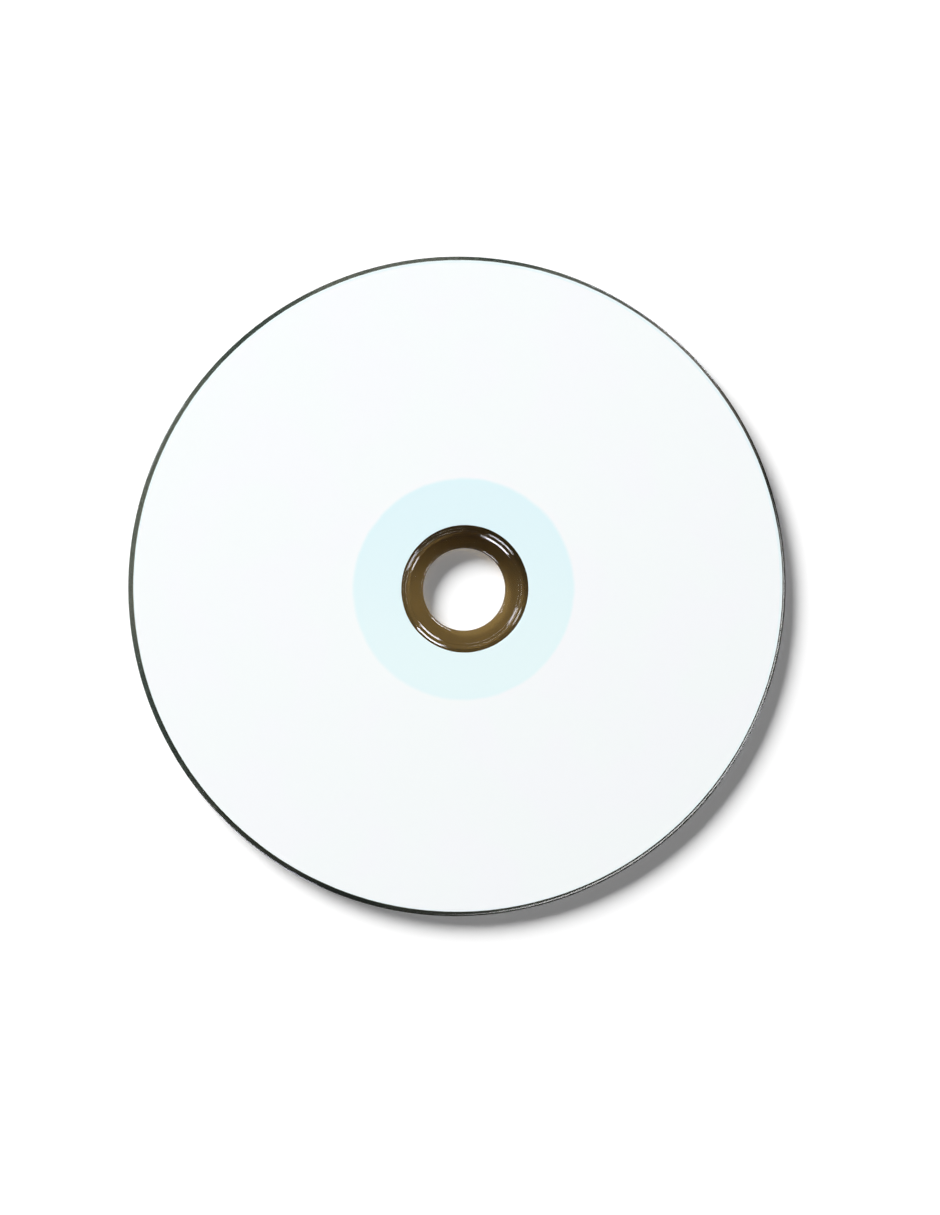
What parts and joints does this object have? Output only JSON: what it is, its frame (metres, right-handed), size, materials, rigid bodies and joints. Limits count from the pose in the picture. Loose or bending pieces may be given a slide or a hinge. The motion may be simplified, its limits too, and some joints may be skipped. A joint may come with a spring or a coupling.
{
  "type": "compact disc",
  "caption": "Recordable optical disc, label side up: white printable face, smoke-brown translucent polycarbonate hub and rim, mirror film under the coat, stacking ring on the read side.",
  "frame": {"origin": "on the axis of the centre hole, in the plane of the stacking ring's foot, on which the disc rests", "axes": "+Z along the spindle axis, out of the white label side; the disc is round, so +X and +Y are free, with +Y towards the top of the picture"},
  "size_m": [0.12, 0.12, 0.0015],
  "materials": {
    "tinted_polycarbonate": "polished",
    "mirror_film": "polished",
    "white_coat": "matte"
  },
  "bodies": {
    "root": {"polycarbonate_disc": "tinted_polycarbonate", "recording_film": "mirror_film", "print_coat": "white_coat"}
  },
  "joints": []
}
